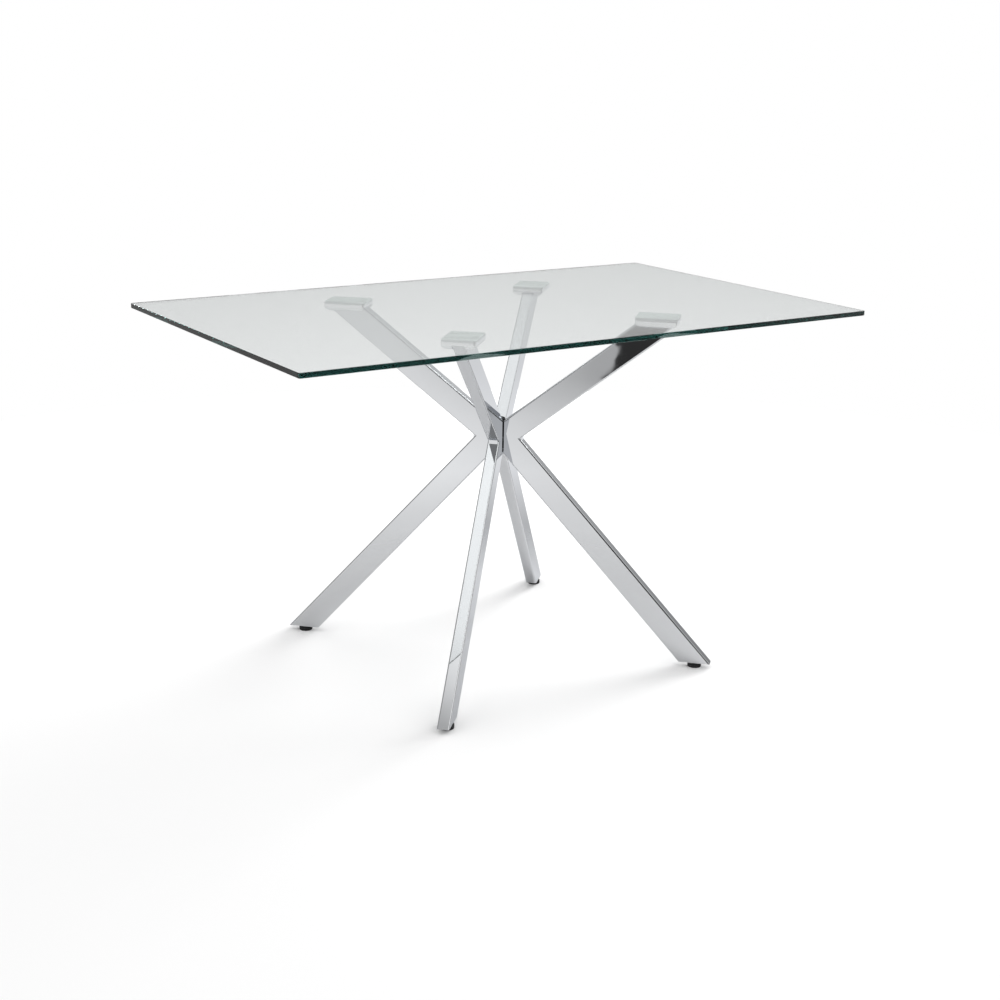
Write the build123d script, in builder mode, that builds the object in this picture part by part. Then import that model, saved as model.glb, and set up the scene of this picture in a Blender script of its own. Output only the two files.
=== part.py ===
"""Glass-topped dining table on four "<"-shaped chromed units.

Frame: origin on the floor under the middle of the table, +X along the length,
+Y along the width, +Z up. Millimetres.

Each corner of the base is one welded unit: an arm that rises outward to the
glass and a leg that falls outward to the floor, both of flat rectangular tube
standing on edge. The four units stand at 90 degrees and meet at the vertical
axis, mitred with a narrow open joint between them, where one bolt clamps
their four stacked lugs.
"""
import os
from math import cos, radians, sin, tan

from build123d import *

os.makedirs("parts", exist_ok=True)

# ---------------------------------------------------------------- dimensions
TABLE_HEIGHT = 750.0
TOP_LENGTH = 1296.0
TOP_WIDTH = 784.0
GLASS_THICKNESS = 10.0
GLASS_CORNER_RADIUS = 5.0
GLASS_ARRIS = 1.0

TUBE_DEPTH = 50.0  # across the tube, in the upright plane of its unit
TUBE_WIDTH = 25.0  # across the tube, level
TUBE_WALL = 2.0
TUBE_CORNER = 3.0
HUB_GAP = 2.6  # open joint between the mitred faces of neighbouring units

ARM_SLOPE = 38.1  # degrees above level
LEG_SLOPE = 47.9  # degrees below level
KNEE_RADIUS = 11.5  # where the centre lines of arm and leg cross
KNEE_HEIGHT = 479.5
WELD_DEPTH = 4.2  # of the ground-flat weld that fills the outer notch of the knee

FLOOR_GAP = 10.5  # clear height under the cut end of a leg

BOND_PAD_THICKNESS = 1.0
GLASS_PLATE_THICKNESS = 4.0
SHOE_THICKNESS = 15.0
SHOE_LENGTH = 86.0  # along the unit
SHOE_WIDTH = 67.0  # across the unit
SHOE_CORNER = 4.0
SHOE_ROUNDING = 12.5  # along all four lower edges
SHOE_RADIUS = 326.0  # from the axis to the middle of a shoe
SOCKET_DEPTH = 8.0  # how far an arm reaches up into its shoe
SOCKET_GAP = 0.05  # beside the arm

SCREW_SPREAD_LONG = 50.0  # pattern of the four M4 screws in a shoe
SCREW_SPREAD_WIDE = 34.0
M4_CLEARANCE = 2.2  # radius
M4_HEAD_RADIUS = 3.5
M4_HEAD_HEIGHT = 4.0
M4_SHANK_RADIUS = 2.0
M4_LENGTH = 13.0
M4_HEX = 3.0
M4_HEX_DEPTH = 2.8
M4_SINK = 4.6  # depth of the counterbore under the shoe
SCREW_GAP = 0.05  # between screw and hole walls

LUG_THICKNESS = 5.0
LUG_BASE_HEIGHT = 468.6  # underside of the lowest lug
LUG_REACH = 38.0
M8_CLEARANCE = 4.25
M8_SHANK_RADIUS = 4.0
M8_HEAD_RADIUS = 6.5
M8_HEAD_HEIGHT = 8.0
M8_HEX = 6.0
WASHER_RADIUS = 8.0
WASHER_THICKNESS = 1.6
M8_NUT_FLATS = 13.0
M8_NUT_HEIGHT = 6.5
BOLT_LENGTH = 31.0
ACCESS_RADIUS = 8.5
PLUG_LENGTH = 9.0
PLUG_EDGE = 1.5
PLUG_SINK = 1.0  # from the bolt head down to the plug
CAP_RADIUS = 13.5
CAP_TOP = 516.5
CAP_THICKNESS = 17.0
CAP_EDGE = 1.2

FOOT_PLATE_THICKNESS = 4.0
FOOT_NUT_RADIUS = 7.5
FOOT_NUT_HEIGHT = 10.0
GLIDE_RADIUS = 14.5  # a little wider than the tube above it
GLIDE_HEIGHT = 8.5
GLIDE_LOWER_EDGE = 1.6
GLIDE_UPPER_EDGE = 0.8
STUD_RADIUS = 4.0
STUD_TOP = 30.0
STUD_CHAMFER = 0.8
STUD_FLANGE_RADIUS = 7.0
STUD_FLANGE_BASE = 2.0
STUD_FLANGE_THICKNESS = 2.0
THREAD_CLEARANCE = 0.05
FLANGE_CLEARANCE = 0.08

CORNERS = {
    "front_left": 225.0,
    "front_right": 315.0,
    "back_right": 45.0,
    "back_left": 135.0,
}

# ------------------------------------------------------------- worked out
GLASS_UNDERSIDE = TABLE_HEIGHT - GLASS_THICKNESS
PLATE_TOP = GLASS_UNDERSIDE - BOND_PAD_THICKNESS
SHOE_TOP = PLATE_TOP - GLASS_PLATE_THICKNESS
SHOE_BOTTOM = SHOE_TOP - SHOE_THICKNESS
ARM_TOP = SHOE_BOTTOM + SOCKET_DEPTH
NOTCH_REACH = TUBE_DEPTH / 2 / sin(radians((ARM_SLOPE + LEG_SLOPE) / 2))
FOOT_RADIUS = KNEE_RADIUS + (KNEE_HEIGHT - FLOOR_GAP) / tan(radians(LEG_SLOPE))

# The mitre between arm and leg halves the angle between them.
MITRE_SLOPE = (ARM_SLOPE - LEG_SLOPE) / 2
BORE_WIDTH = TUBE_WIDTH - 2 * TUBE_WALL
BORE_DEPTH = TUBE_DEPTH - 2 * TUBE_WALL
BORE_CORNER = TUBE_CORNER - TUBE_WALL
BOLT_HEAD_TOP = LUG_BASE_HEIGHT - WASHER_THICKNESS
LUG_STACK_TOP = LUG_BASE_HEIGHT + len(CORNERS) * LUG_THICKNESS
FOOT_PLATE_TOP = FLOOR_GAP + FOOT_PLATE_THICKNESS


def direction(angle):
    """Level unit vector that points out from the axis at an angle."""
    return Vector(cos(radians(angle)), sin(radians(angle)), 0)


def level_plane(angle, height, radius=0.0):
    """Level plane at a height, x outward along a unit, centred at a radius."""
    outward = direction(angle)
    centre = outward * radius + Vector(0, 0, height)
    return Plane(origin=centre, x_dir=outward, z_dir=(0, 0, 1))


def limb_plane(angle, slope):
    """Plane across a tube at the knee: z along the tube's centre line."""
    outward = direction(angle)
    knee = outward * KNEE_RADIUS + Vector(0, 0, KNEE_HEIGHT)
    along = outward * cos(radians(slope)) + Vector(0, 0, sin(radians(slope)))
    return Plane(origin=knee, x_dir=outward.cross(Vector(0, 0, 1)), z_dir=along)


def mitre_plane(angle):
    """Plane between arm and leg, its normal on the arm's side."""
    outward = direction(angle)
    knee = outward * KNEE_RADIUS + Vector(0, 0, KNEE_HEIGHT)
    up = Vector(0, 0, 1)
    normal = up * cos(radians(MITRE_SLOPE)) - outward * sin(radians(MITRE_SLOPE))
    return Plane(origin=knee, x_dir=outward.cross(up), z_dir=normal)


def hub_plane(angle, side):
    """Upright 45 degree plane half a joint off the axis, its normal into the unit."""
    inward = direction(angle + side * 45)
    return Plane(origin=inward * HUB_GAP / 2, z_dir=inward)


def save(piece, label):
    """Name a finished piece and write its STEP file."""
    piece.part.label = label
    export_step(piece.part, f"parts/{label}.step")


# ---------------------------------------------------------------- glass top
with BuildPart() as glass_top:
    with BuildSketch(Plane.XY.offset(GLASS_UNDERSIDE)):
        RectangleRounded(TOP_LENGTH, TOP_WIDTH, GLASS_CORNER_RADIUS)
    extrude(amount=GLASS_THICKNESS)
    chamfer(glass_top.faces().filter_by(Axis.Z).edges(), GLASS_ARRIS)
save(glass_top, "glass_top")


# ------------------------------------------------------------- arms and legs
def make_tube(angle, slope, end_height):
    """Straight tube from the hub to a level cut, mitred at the hub."""
    rising = slope > 0
    reach = abs(end_height - KNEE_HEIGHT) / sin(radians(abs(slope))) + TUBE_DEPTH
    with BuildPart() as tube:
        with BuildSketch(limb_plane(angle, slope)):
            RectangleRounded(TUBE_WIDTH, TUBE_DEPTH, TUBE_CORNER)
            RectangleRounded(BORE_WIDTH, BORE_DEPTH, BORE_CORNER, mode=Mode.SUBTRACT)
        extrude(amount=reach, both=True)
        split(bisect_by=mitre_plane(angle), keep=Keep.TOP if rising else Keep.BOTTOM)
        split(bisect_by=Plane.XY.offset(end_height), keep=Keep.BOTTOM if rising else Keep.TOP)
        split(bisect_by=hub_plane(angle, 1), keep=Keep.TOP)
        split(bisect_by=hub_plane(angle, -1), keep=Keep.TOP)
        if not rising:
            with BuildSketch(Plane.XY.offset(BOLT_HEAD_TOP - M8_HEAD_HEIGHT)):
                Circle(ACCESS_RADIUS)
            extrude(amount=-TUBE_DEPTH, mode=Mode.SUBTRACT)
        else:
            with BuildSketch(Plane.XY.offset(CAP_TOP - CAP_THICKNESS)):
                Circle(CAP_RADIUS)
            extrude(amount=TUBE_DEPTH, mode=Mode.SUBTRACT)
    return tube


def upright_plane(angle):
    """Middle plane of a unit: x outward from the axis, y up from the floor."""
    outward = direction(angle)
    return Plane(origin=(0, 0, 0), x_dir=outward, z_dir=outward.cross(Vector(0, 0, 1)))


def make_knee_weld(angle):
    """Weld in the notch between arm and leg, ground to a narrow upright face."""
    radius = KNEE_RADIUS + NOTCH_REACH * cos(radians(MITRE_SLOPE))
    height = KNEE_HEIGHT + NOTCH_REACH * sin(radians(MITRE_SLOPE))
    rise = WELD_DEPTH * tan(radians(ARM_SLOPE))
    drop = WELD_DEPTH * tan(radians(LEG_SLOPE))
    face = radius + WELD_DEPTH
    with BuildPart() as weld:
        with BuildSketch(upright_plane(angle)):
            Polygon((radius, height), (face, height - drop), (face, height + rise), align=None)
        extrude(amount=TUBE_WIDTH / 2 - TUBE_CORNER, both=True)
    return weld


for corner, angle in CORNERS.items():
    save(make_tube(angle, ARM_SLOPE, ARM_TOP), f"arm_{corner}")
    save(make_tube(angle, -LEG_SLOPE, FLOOR_GAP), f"leg_{corner}")
    save(make_knee_weld(angle), f"knee_weld_{corner}")


# --------------------------------------------------- shoes, plates and pads
def rounded_bar(plane, width, length):
    """Bar along a plane's normal, shoe-thick, with its two lower edges rounded."""
    with BuildPart() as bar:
        with BuildSketch(plane) as profile:
            with Locations((0, SHOE_THICKNESS / 2)):
                Rectangle(width, SHOE_THICKNESS)
            fillet(profile.vertices().group_by(Axis.Y)[0], SHOE_ROUNDING)
        extrude(amount=length / 2, both=True)
    return bar.part


def make_socket(angle):
    """Room for the end of an arm, open below and at the outer end of the shoe."""
    inner_edge = []
    for height in (SHOE_BOTTOM - 1, ARM_TOP):
        middle = KNEE_RADIUS + (height - KNEE_HEIGHT) / tan(radians(ARM_SLOPE))
        inner_edge.append((middle - (TUBE_DEPTH / 2 + SOCKET_GAP) / sin(radians(ARM_SLOPE)), height))
    beyond = SHOE_RADIUS + SHOE_LENGTH
    with BuildPart() as socket:
        with BuildSketch(upright_plane(angle)):
            Polygon(*inner_edge, (beyond, ARM_TOP), (beyond, SHOE_BOTTOM - 1), align=None)
        extrude(amount=TUBE_WIDTH / 2 + SOCKET_GAP, both=True)
    return socket.part


def make_shoe(angle):
    """Cast block round the end of an arm, its lower edges well rounded."""
    top = level_plane(angle, SHOE_TOP, SHOE_RADIUS)
    foot = level_plane(angle, SHOE_BOTTOM, SHOE_RADIUS)
    across = Plane(origin=foot.origin, x_dir=foot.y_dir, z_dir=foot.x_dir)
    along = Plane(origin=foot.origin, x_dir=foot.x_dir, z_dir=-foot.y_dir)
    with BuildPart() as shoe:
        add(rounded_bar(across, SHOE_WIDTH, SHOE_LENGTH))
        add(rounded_bar(along, SHOE_LENGTH, SHOE_WIDTH), mode=Mode.INTERSECT)
        with BuildSketch(foot):
            RectangleRounded(SHOE_LENGTH, SHOE_WIDTH, SHOE_CORNER)
        extrude(amount=SHOE_THICKNESS, mode=Mode.INTERSECT)
        add(make_socket(angle), mode=Mode.SUBTRACT)
        with BuildSketch(foot):
            with GridLocations(SCREW_SPREAD_LONG, SCREW_SPREAD_WIDE, 2, 2):
                Circle(M4_HEAD_RADIUS + SCREW_GAP)
        extrude(amount=M4_SINK, mode=Mode.SUBTRACT)
        with BuildSketch(top):
            with GridLocations(SCREW_SPREAD_LONG, SCREW_SPREAD_WIDE, 2, 2):
                Circle(M4_CLEARANCE)
        extrude(amount=-SHOE_THICKNESS, mode=Mode.SUBTRACT)
    return shoe


def make_plate(angle, height, thickness, holed):
    """Level rounded plate of the shoe's upper outline."""
    base = level_plane(angle, height, SHOE_RADIUS)
    with BuildPart() as plate:
        with BuildSketch(base):
            RectangleRounded(SHOE_LENGTH, SHOE_WIDTH, SHOE_CORNER)
            if holed:
                with GridLocations(SCREW_SPREAD_LONG, SCREW_SPREAD_WIDE, 2, 2):
                    Circle(M4_SHANK_RADIUS + SCREW_GAP, mode=Mode.SUBTRACT)
        extrude(amount=thickness)
    return plate


for corner, angle in CORNERS.items():
    save(make_shoe(angle), f"shoe_{corner}")
    save(make_plate(angle, SHOE_TOP, GLASS_PLATE_THICKNESS, True), f"glass_plate_{corner}")
    save(make_plate(angle, PLATE_TOP, BOND_PAD_THICKNESS, False), f"bond_pad_{corner}")

screw_seat = SHOE_BOTTOM + M4_SINK
with BuildPart() as shoe_screws:
    for angle in CORNERS.values():
        seat = level_plane(angle, screw_seat, SHOE_RADIUS)
        with BuildSketch(seat):
            with GridLocations(SCREW_SPREAD_LONG, SCREW_SPREAD_WIDE, 2, 2):
                Circle(M4_HEAD_RADIUS)
        extrude(amount=-M4_HEAD_HEIGHT)
        with BuildSketch(seat.offset(-M4_HEAD_HEIGHT)):
            with GridLocations(SCREW_SPREAD_LONG, SCREW_SPREAD_WIDE, 2, 2):
                RegularPolygon(M4_HEX / 2, 6, major_radius=False)
        extrude(amount=M4_HEX_DEPTH, mode=Mode.SUBTRACT)
        with BuildSketch(seat):
            with GridLocations(SCREW_SPREAD_LONG, SCREW_SPREAD_WIDE, 2, 2):
                Circle(M4_SHANK_RADIUS)
        extrude(amount=M4_LENGTH)
save(shoe_screws, "shoe_screws")


# ----------------------------------------------------------- hub fastening
def make_lug(angle, level):
    """Flat lug welded between the side walls of a unit, round at the axis."""
    base = level_plane(angle, LUG_BASE_HEIGHT + level * LUG_THICKNESS)
    with BuildPart() as lug:
        with BuildSketch(base):
            with Locations((LUG_REACH / 2, 0)):
                Rectangle(LUG_REACH, BORE_WIDTH)
            Circle(BORE_WIDTH / 2)
            Circle(M8_CLEARANCE, mode=Mode.SUBTRACT)
        extrude(amount=LUG_THICKNESS)
    return lug


for level, (corner, angle) in enumerate(CORNERS.items()):
    save(make_lug(angle, level), f"hub_lug_{corner}")

with BuildPart() as hub_washer:
    with BuildSketch(Plane.XY.offset(BOLT_HEAD_TOP)):
        Circle(WASHER_RADIUS)
        Circle(M8_CLEARANCE, mode=Mode.SUBTRACT)
    extrude(amount=WASHER_THICKNESS)
save(hub_washer, "hub_washer")

with BuildPart() as hub_bolt:
    with BuildSketch(Plane.XY.offset(BOLT_HEAD_TOP)):
        Circle(M8_HEAD_RADIUS)
    extrude(amount=-M8_HEAD_HEIGHT)
    with BuildSketch(Plane.XY.offset(BOLT_HEAD_TOP - M8_HEAD_HEIGHT)):
        RegularPolygon(M8_HEX / 2, 6, major_radius=False)
    extrude(amount=M8_HEAD_HEIGHT / 2, mode=Mode.SUBTRACT)
    with BuildSketch(Plane.XY.offset(BOLT_HEAD_TOP)):
        Circle(M8_SHANK_RADIUS)
    extrude(amount=BOLT_LENGTH)
save(hub_bolt, "hub_bolt")

with BuildPart() as hub_nut:
    with BuildSketch(Plane.XY.offset(LUG_STACK_TOP)):
        RegularPolygon(M8_NUT_FLATS / 2, 6, major_radius=False)
        Circle(M8_SHANK_RADIUS + SCREW_GAP, mode=Mode.SUBTRACT)
    extrude(amount=M8_NUT_HEIGHT)
save(hub_nut, "hub_nut")

with BuildPart() as hub_cap:
    with BuildSketch(Plane.XY.offset(CAP_TOP)):
        Circle(CAP_RADIUS - SCREW_GAP)
    extrude(amount=-CAP_THICKNESS)
    fillet(hub_cap.faces().sort_by(Axis.Z)[-1].edges(), CAP_EDGE)
save(hub_cap, "hub_cap")

with BuildPart() as hub_plug:
    with BuildSketch(Plane.XY.offset(BOLT_HEAD_TOP - M8_HEAD_HEIGHT - PLUG_SINK)):
        Circle(ACCESS_RADIUS - SCREW_GAP)
    extrude(amount=-PLUG_LENGTH)
    fillet(hub_plug.faces().sort_by(Axis.Z)[0].edges(), PLUG_EDGE)
save(hub_plug, "hub_plug")


# ---------------------------------------------------------- foot and glide
def make_foot_plate(angle):
    """Plate closing the cut end of a leg, with the threaded hole in it."""
    reach = (KNEE_HEIGHT - FLOOR_GAP) / sin(radians(LEG_SLOPE)) + TUBE_DEPTH
    with BuildPart() as plate:
        with BuildSketch(limb_plane(angle, -LEG_SLOPE)):
            RectangleRounded(BORE_WIDTH, BORE_DEPTH, BORE_CORNER)
        extrude(amount=reach)
        split(bisect_by=Plane.XY.offset(FLOOR_GAP), keep=Keep.TOP)
        split(bisect_by=Plane.XY.offset(FOOT_PLATE_TOP), keep=Keep.BOTTOM)
        with BuildSketch(level_plane(angle, FLOOR_GAP, FOOT_RADIUS)):
            Circle(STUD_RADIUS + THREAD_CLEARANCE)
        extrude(amount=FOOT_PLATE_THICKNESS, mode=Mode.SUBTRACT)
    return plate


def make_foot_nut(angle):
    """Round weld nut on top of the foot plate."""
    with BuildPart() as nut:
        with BuildSketch(level_plane(angle, FOOT_PLATE_TOP, FOOT_RADIUS)):
            Circle(FOOT_NUT_RADIUS)
            Circle(STUD_RADIUS + THREAD_CLEARANCE, mode=Mode.SUBTRACT)
        extrude(amount=FOOT_NUT_HEIGHT)
    return nut


def make_glide_stud(angle):
    """Threaded stud with the flange that the glide pad is moulded round."""
    with BuildPart() as stud:
        with BuildSketch(level_plane(angle, STUD_FLANGE_BASE, FOOT_RADIUS)):
            Circle(STUD_FLANGE_RADIUS)
        extrude(amount=STUD_FLANGE_THICKNESS)
        with BuildSketch(level_plane(angle, STUD_FLANGE_BASE, FOOT_RADIUS)):
            Circle(STUD_RADIUS)
        extrude(amount=STUD_TOP - STUD_FLANGE_BASE)
        chamfer(stud.faces().sort_by(Axis.Z)[-1].edges(), STUD_CHAMFER)
    return stud


def make_glide_pad(angle):
    """Round pad that stands on the floor, hollowed for the stud's flange."""
    flange_base = STUD_FLANGE_BASE - FLANGE_CLEARANCE
    flange_room = STUD_FLANGE_THICKNESS + 2 * FLANGE_CLEARANCE
    with BuildPart() as pad:
        with BuildSketch(level_plane(angle, 0, FOOT_RADIUS)):
            Circle(GLIDE_RADIUS)
        extrude(amount=GLIDE_HEIGHT)
        fillet(pad.faces().sort_by(Axis.Z)[0].edges(), GLIDE_LOWER_EDGE)
        fillet(pad.faces().sort_by(Axis.Z)[-1].edges(), GLIDE_UPPER_EDGE)
        with BuildSketch(level_plane(angle, flange_base, FOOT_RADIUS)):
            Circle(STUD_FLANGE_RADIUS + FLANGE_CLEARANCE)
        extrude(amount=flange_room, mode=Mode.SUBTRACT)
        with BuildSketch(level_plane(angle, flange_base, FOOT_RADIUS)):
            Circle(STUD_RADIUS + FLANGE_CLEARANCE)
        extrude(amount=GLIDE_HEIGHT, mode=Mode.SUBTRACT)
    return pad


for corner, angle in CORNERS.items():
    save(make_foot_plate(angle), f"foot_plate_{corner}")
    save(make_foot_nut(angle), f"foot_nut_{corner}")
    save(make_glide_stud(angle), f"glide_stud_{corner}")
    save(make_glide_pad(angle), f"glide_pad_{corner}")
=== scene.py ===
"""Glass dining table on a chromed four-way base: looks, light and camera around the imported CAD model.

Everything is in metres, in the frame of the CAD model: origin on the floor under
the middle of the table, +X along the length, +Y towards the back, +Z up.
"""
from math import cos, radians, sin

import bpy
from mathutils import Matrix, Vector

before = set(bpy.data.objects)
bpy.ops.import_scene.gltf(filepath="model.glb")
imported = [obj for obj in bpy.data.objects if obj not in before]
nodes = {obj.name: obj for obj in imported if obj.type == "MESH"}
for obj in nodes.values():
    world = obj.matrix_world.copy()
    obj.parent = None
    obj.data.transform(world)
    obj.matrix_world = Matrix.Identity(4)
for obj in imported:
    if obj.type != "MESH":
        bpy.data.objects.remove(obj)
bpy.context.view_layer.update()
scene = bpy.context.scene


# ------------------------------------------------------------- node helpers
def new_material(name):
    """Material with a Principled shader; returns it, its tree and the shader."""
    material = bpy.data.materials.new(name)
    material.use_nodes = True
    tree = material.node_tree
    return material, tree, tree.nodes["Principled BSDF"]


def add(tree, kind, **settings):
    """Node of a kind with its properties and inputs set by name."""
    node = tree.nodes.new(kind)
    for name, value in settings.items():
        if hasattr(node, name):
            setattr(node, name, value)
        else:
            node.inputs[name.replace("_", " ")].default_value = value
    return node


def object_coordinates(tree, stretch=(1, 1, 1)):
    """Object coordinates, scaled per axis, as a socket."""
    place = add(tree, "ShaderNodeTexCoord")
    mapping = add(tree, "ShaderNodeMapping")
    mapping.inputs["Scale"].default_value = stretch
    tree.links.new(place.outputs["Object"], mapping.inputs["Vector"])
    return mapping.outputs["Vector"]


def noise(tree, scale, detail=3.0, stretch=(1, 1, 1)):
    """Noise from 0 to 1, with features per metre given by its scale."""
    node = add(tree, "ShaderNodeTexNoise", Scale=scale, Detail=detail)
    tree.links.new(object_coordinates(tree, stretch), node.inputs["Vector"])
    return node.outputs["Fac"]


def spread(tree, value, low, high, source=(0.3, 0.7)):
    """Value mapped from its source range to low..high."""
    node = add(tree, "ShaderNodeMapRange")
    node.inputs["From Min"].default_value = source[0]
    node.inputs["From Max"].default_value = source[1]
    node.inputs["To Min"].default_value = low
    node.inputs["To Max"].default_value = high
    tree.links.new(value, node.inputs["Value"])
    return node.outputs["Result"]


def mixed_colour(tree, factor, first, second):
    """Colour between two colours by a factor."""
    node = add(tree, "ShaderNodeMix", data_type="RGBA")
    node.inputs[6].default_value = (*first, 1)
    node.inputs[7].default_value = (*second, 1)
    tree.links.new(factor, node.inputs[0])
    return node.outputs[2]


def bump(tree, shader, height, distance):
    """Bump on a shader, its full height given in metres."""
    node = add(tree, "ShaderNodeBump", Strength=1.0, Distance=distance)
    tree.links.new(height, node.inputs["Height"])
    tree.links.new(node.outputs["Normal"], shader.inputs["Normal"])


# ---------------------------------------------------------------- materials
def metal(name, light, dark, roughness, waviness, grain=60.0, stretch=(1, 1, 1)):
    """Metal whose tint and gloss drift a little, over a faintly wavy surface."""
    material, tree, shader = new_material(name)
    shader.inputs["Metallic"].default_value = 1.0
    shader.inputs["Specular Tint"].default_value = (0.80, 0.81, 0.83, 1)
    drift = noise(tree, grain, 4.0, stretch)
    tree.links.new(mixed_colour(tree, drift, dark, light), shader.inputs["Base Color"])
    tree.links.new(spread(tree, drift, *roughness), shader.inputs["Roughness"])
    bump(tree, shader, noise(tree, 9.0, 1.0), waviness)
    return material


def plastic(name, colour, worn, roughness, grain_height):
    """Moulded plastic: fine grain, with a slightly worn tint."""
    material, tree, shader = new_material(name)
    shader.inputs["Specular IOR Level"].default_value = 0.3
    patches = noise(tree, 90.0, 3.0)
    tree.links.new(mixed_colour(tree, patches, colour, worn), shader.inputs["Base Color"])
    tree.links.new(spread(tree, patches, *roughness), shader.inputs["Roughness"])
    bump(tree, shader, noise(tree, 1800.0, 2.0), grain_height)
    return material


def glass(name):
    """Clear float glass: faint green through its thickness, dark at its edge."""
    material, tree, shader = new_material(name)
    shader.inputs["Base Color"].default_value = (1, 1, 1, 1)
    shader.inputs["Roughness"].default_value = 0.0
    shader.inputs["IOR"].default_value = 1.52
    shader.inputs["Transmission Weight"].default_value = 1.0
    bump(tree, shader, noise(tree, 2.0, 1.0), 0.00002)
    absorb = add(tree, "ShaderNodeVolumeAbsorption", Density=6.0)
    absorb.inputs["Color"].default_value = (0.133, 0.417, 0.392, 1)
    tree.links.new(absorb.outputs["Volume"], tree.nodes["Material Output"].inputs["Volume"])
    return material


chrome = metal("chrome", (0.665, 0.675, 0.69), (0.645, 0.655, 0.67), (0.01, 0.025), 0.00012)
casting = metal("polished_casting", (0.94, 0.945, 0.95), (0.88, 0.89, 0.90), (0.16, 0.26), 0.0001)
plate = metal("brushed_plate", (0.66, 0.68, 0.68), (0.54, 0.57, 0.57), (0.3, 0.42), 0.0001,
              grain=400.0, stretch=(0.05, 1, 1))
steel = metal("bare_steel", (0.42, 0.43, 0.44), (0.34, 0.345, 0.35), (0.3, 0.45), 0.0002)
zinc = metal("zinc_steel", (0.60, 0.61, 0.62), (0.52, 0.53, 0.54), (0.22, 0.32), 0.0001)
bond = plastic("clear_bond", (0.70, 0.76, 0.74), (0.62, 0.675, 0.66), (0.25, 0.4), 0.00002)
black = plastic("black_plastic", (0.008, 0.008, 0.009), (0.014, 0.014, 0.015), (0.5, 0.62), 0.00003)
clear = glass("clear_glass")

FINISHES = (
    ("glass_top", clear, "clear_glass"),
    ("arm_", chrome, "chrome_tube"),
    ("leg_", chrome, "chrome_tube"),
    ("knee_weld_", chrome, "chrome_tube"),
    ("shoe_screws", zinc, "zinc_steel"),
    ("shoe_", casting, "polished_casting"),
    ("glass_plate_", plate, "brushed_plate"),
    ("bond_pad_", bond, "clear_bond"),
    ("hub_lug_", steel, "bare_steel"),
    ("foot_plate_", steel, "bare_steel"),
    ("foot_nut_", steel, "bare_steel"),
    ("hub_plug", black, "black_plastic"),
    ("hub_cap", black, "black_plastic"),
    ("glide_pad_", black, "black_plastic"),
    ("hub_", zinc, "zinc_steel"),
    ("glide_stud_", zinc, "zinc_steel"),
)


def dress(node):
    """Give a CAD node its material, by the first finish that fits its name."""
    prefix, material, slot = next(f for f in FINISHES if node.name.startswith(f[0]))
    for place in node.material_slots:
        place.link = "OBJECT"
        place.material = material


for node in nodes.values():
    dress(node)

# Light and the floor's own shading pass the glass, as they do a clear pane.
nodes["glass_top"].visible_shadow = False
nodes["glass_top"].visible_diffuse = False


# --------------------------------------------------------------- floor, world
FLOOR_RADIUS = 2.6
MIRRORED_RADIUS = 0.9  # of the part of the floor that mirrors see
MIRRORED_FADE = 0.5  # from here outward it gives way to the surroundings
RIGHT_SIDE = (radians(-60), radians(100))  # directions of the brighter side of the room
SHADED_SIDE = (radians(-151), radians(-138))  # directions that are dimmer, up to a sharp end
DARK_SIDE = (radians(-142.0), radians(-40))  # directions of the unlit side of the room
BACK_SIDE = (radians(85), radians(155))  # directions that are dimmer below the horizon
BRIGHTEST = 1.4  # of the room that mirrors see, but for the softbox
UNLIT = 0.075  # share of its light that the unlit side keeps
TEAR_SLANT = 0.10  # radians that the edge of the dark side leans by, per unit of height
TEAR_DEPTH = 0.005  # radians that its edge is ragged by, each way
SOFTBOX = Vector((0.1765, -0.6588, 0.731))  # direction of a small bright softbox
KEY_PLACE = (3.2, 0.95, 1.6)
KEY_TARGET = (0, 0, 0.1)
KEY_SIZE = 1.8
KEY_POWER = 85


def make_disc(name, radius, height):
    """Round sheet of white studio paper; returns it, its node tree and its shader."""
    bpy.ops.mesh.primitive_circle_add(vertices=128, radius=radius, fill_type="NGON",
                                      location=(0, 0, height))
    disc = bpy.context.object
    disc.name = name
    material, tree, shader = new_material(name)
    shader.inputs["Base Color"].default_value = (0.90, 0.90, 0.90, 1)
    shader.inputs["Roughness"].default_value = 0.9
    shader.inputs["Specular IOR Level"].default_value = 0.0
    disc.data.materials.append(material)
    return disc, tree, shader


def make_floor():
    """Pale floor, and a faded copy of its middle that only mirrors see."""
    floor, _, _ = make_disc("floor", FLOOR_RADIUS, 0)
    floor.visible_glossy = False
    mirrored, tree, shader = make_disc("floor_mirrored", MIRRORED_RADIUS, 0.0001)
    mirrored.visible_camera = mirrored.visible_diffuse = False
    mirrored.visible_transmission = mirrored.visible_shadow = False
    distance = add(tree, "ShaderNodeVectorMath", operation="LENGTH")
    tree.links.new(object_coordinates(tree), distance.inputs[0])
    fade = spread(tree, distance.outputs["Value"], 1.0, 0.0, (MIRRORED_FADE, MIRRORED_RADIUS))
    tree.links.new(fade, shader.inputs["Alpha"])


def calculate(tree, operation, first, second):
    """Two values, or a value and a number, combined."""
    node = add(tree, "ShaderNodeMath", operation=operation)
    for socket, value in zip(node.inputs, (first, second)):
        if isinstance(value, bpy.types.NodeSocket):
            tree.links.new(value, socket)
        else:
            socket.default_value = value
    return node.outputs[0]


def blend(tree, factor, first, second):
    """Value between two values by a factor."""
    node = add(tree, "ShaderNodeMix")
    for socket, value in zip(node.inputs[0:1] + node.inputs[2:4], (factor, first, second)):
        tree.links.new(value, socket)
    return node.outputs[0]


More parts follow.
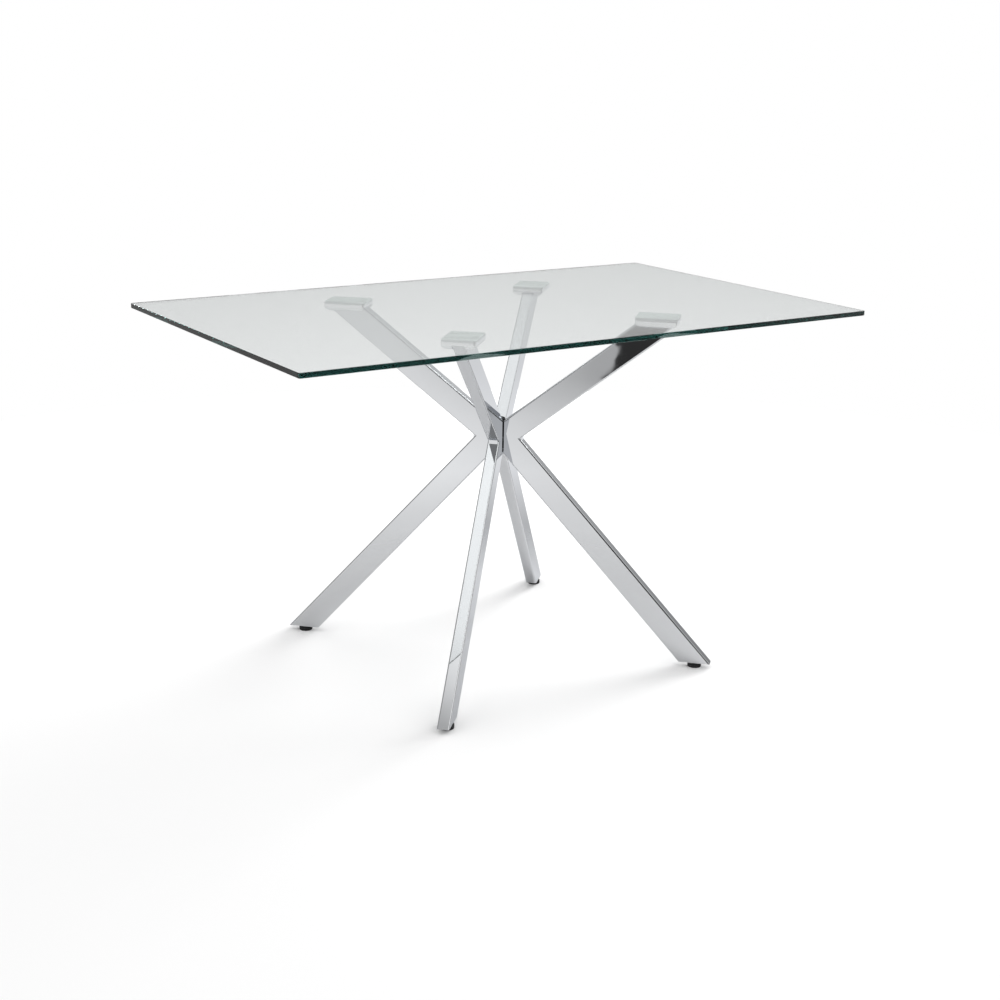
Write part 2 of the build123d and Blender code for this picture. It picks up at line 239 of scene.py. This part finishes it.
def ramp(tree, height, stops):
    """Brightness by the height of a direction, -1 straight down to 1 straight up."""
    node = add(tree, "ShaderNodeValToRGB")
    while len(node.color_ramp.elements) < len(stops):
        node.color_ramp.elements.new(0.5)
    for element, (level, value) in zip(node.color_ramp.elements, stops):
        element.position = (level + 1) / 2
        element.color = (value / BRIGHTEST, value / BRIGHTEST, value / BRIGHTEST, 1)
    tree.links.new(spread(tree, height, 0, 1, (-1, 1)), node.inputs["Fac"])
    return calculate(tree, "MULTIPLY", node.outputs["Color"], BRIGHTEST)


def make_world():
    """White room for the eye; what mirrors see of it is lit from above and the back left."""
    world = bpy.data.worlds.new("studio")
    scene.world = world
    world.use_nodes = True
    tree = world.node_tree
    place = add(tree, "ShaderNodeTexCoord")
    split = add(tree, "ShaderNodeSeparateXYZ")
    tree.links.new(place.outputs["Generated"], split.inputs[0])
    height = split.outputs["Z"]
    turn = calculate(tree, "ARCTAN2", split.outputs["Y"], split.outputs["X"])

    def window(start, end, soft_start, soft_end, source=turn):
        rise = spread(tree, source, 0, 1, (start, start + soft_start))
        fall = spread(tree, source, 1, 0, (end - soft_end, end))
        return calculate(tree, "MULTIPLY", rise, fall)

    def shaded(light, amount, by_turn, levels):
        by_height = spread(tree, height, 0, amount, levels)
        shade = calculate(tree, "MULTIPLY", by_turn, by_height)
        return calculate(tree, "MULTIPLY", light, calculate(tree, "SUBTRACT", 1, shade))

    right = window(*RIGHT_SIDE, radians(25), radians(40))
    below = ramp(tree, height, [(-1, 0.86), (-0.36, 0.84), (-0.30, 0.86), (-0.265, 1.12),
                                (-0.235, 1.08), (-0.205, 0.93), (1, 0.93)])
    steep = spread(tree, height, 0.48, 0.0, (-0.34, -0.25))
    steep_right = calculate(tree, "MULTIPLY", right, steep)
    below = calculate(tree, "MULTIPLY", below, calculate(tree, "SUBTRACT", 1, steep_right))
    below = shaded(below, 0.46, window(*SHADED_SIDE, radians(7.5), 0.002), (-0.30, -0.21))
    below = shaded(below, 0.24, window(radians(-140), DARK_SIDE[1], radians(9), radians(10)), (-0.34, -0.25))
    below = shaded(below, 0.5, window(*BACK_SIDE, radians(12), radians(12)), (-0.45, -0.3))
    above_left = ramp(tree, height, [(-1, 0.30), (0, 0.30), (0.3, 0.36), (0.80, 0.42), (0.838, 0.52),
                                     (0.847, 0.86), (0.866, 1.20), (0.905, 1.34), (0.96, 1.2), (1, 1.15)])
    above_right = ramp(tree, height, [(-1, 0.30), (0.02, 0.30), (0.13, 0.50), (0.2, 0.60),
                                      (0.27, 0.72), (0.5, 0.92), (1, 1.12)])
    above = blend(tree, right, above_left, above_right)
    lit = blend(tree, spread(tree, height, 0, 1, (-0.03, 0.0)), below, above)
    ragged = add(tree, "ShaderNodeTexNoise", Scale=70.0, Detail=2.0)
    tree.links.new(place.outputs["Generated"], ragged.inputs["Vector"])
    torn = calculate(tree, "SUBTRACT", turn, calculate(tree, "MULTIPLY", height, TEAR_SLANT))
    torn = calculate(tree, "ADD", torn, spread(tree, ragged.outputs["Fac"], -TEAR_DEPTH, TEAR_DEPTH))
    dark = window(DARK_SIDE[0], DARK_SIDE[1], radians(0.15), radians(10), torn)
    dark = calculate(tree, "MULTIPLY", dark, spread(tree, height, 0, 1, (-0.235, -0.212)))
    dark = calculate(tree, "MULTIPLY", dark, spread(tree, height, 1, 0, (0.87, 0.93)))
    seen = calculate(tree, "MULTIPLY", lit, calculate(tree, "SUBTRACT", 1 + UNLIT, dark))
    facing = add(tree, "ShaderNodeVectorMath", operation="DOT_PRODUCT")
    tree.links.new(place.outputs["Generated"], facing.inputs[0])
    facing.inputs[1].default_value = SOFTBOX
    seen = calculate(tree, "ADD", seen, spread(tree, facing.outputs["Value"], 0, 2, (0.955, 0.985)))
    path = add(tree, "ShaderNodeLightPath")
    mirrored = spread(tree, path.outputs["Glossy Depth"], 0, 1, (0, 1))
    white = add(tree, "ShaderNodeValue")
    white.outputs[0].default_value = 1.0
    shown = blend(tree, mirrored, white.outputs[0], seen)
    tree.links.new(shown, tree.nodes["Background"].inputs["Color"])


def make_lamp(name, place, target, size, energy):
    """Square soft lamp aimed at a point."""
    lamp = bpy.data.lights.new(name, "AREA")
    lamp.shape = "SQUARE"
    lamp.size = size
    lamp.energy = energy
    holder = bpy.data.objects.new(name, lamp)
    holder.location = place
    holder.rotation_euler = (Vector(target) - Vector(place)).to_track_quat("-Z", "Y").to_euler()
    scene.collection.objects.link(holder)
    return holder


make_floor()
make_world()
key = make_lamp("key", KEY_PLACE, KEY_TARGET, KEY_SIZE, KEY_POWER)
key.visible_glossy = False

# --------------------------------------------------------------------- camera
CAMERA_PLACE = (-1.77699, -2.74706, 1.30451)
CAMERA_TURN = radians(-32.99)  # about the vertical, from looking along +Y
CAMERA_DROP = radians(16.50)
CAMERA_ROLL = radians(0.91)
CAMERA_LENS = 57.62
BOUNCES = 40  # enough for light to come out of the long edge of the glass


def make_camera():
    """Camera at its viewing angle, with a little roll."""
    level = cos(CAMERA_DROP)
    back = Vector((sin(CAMERA_TURN) * level, -cos(CAMERA_TURN) * level, sin(CAMERA_DROP)))
    right = (-back).cross(Vector((0, 0, 1))).normalized()
    up = right.cross(-back)
    x_axis = right * cos(CAMERA_ROLL) + up * sin(CAMERA_ROLL)
    y_axis = up * cos(CAMERA_ROLL) - right * sin(CAMERA_ROLL)
    data = bpy.data.cameras.new("camera")
    data.sensor_width = 36
    data.lens = CAMERA_LENS
    camera = bpy.data.objects.new("camera", data)
    turn = Matrix((x_axis, y_axis, back)).transposed()
    camera.matrix_world = Matrix.Translation(CAMERA_PLACE) @ turn.to_4x4()
    scene.collection.objects.link(camera)
    scene.camera = camera


make_camera()
scene.view_settings.view_transform = "Standard"
scene.cycles.max_bounces = BOUNCES
scene.cycles.transmission_bounces = BOUNCES
scene.cycles.glossy_bounces = BOUNCES
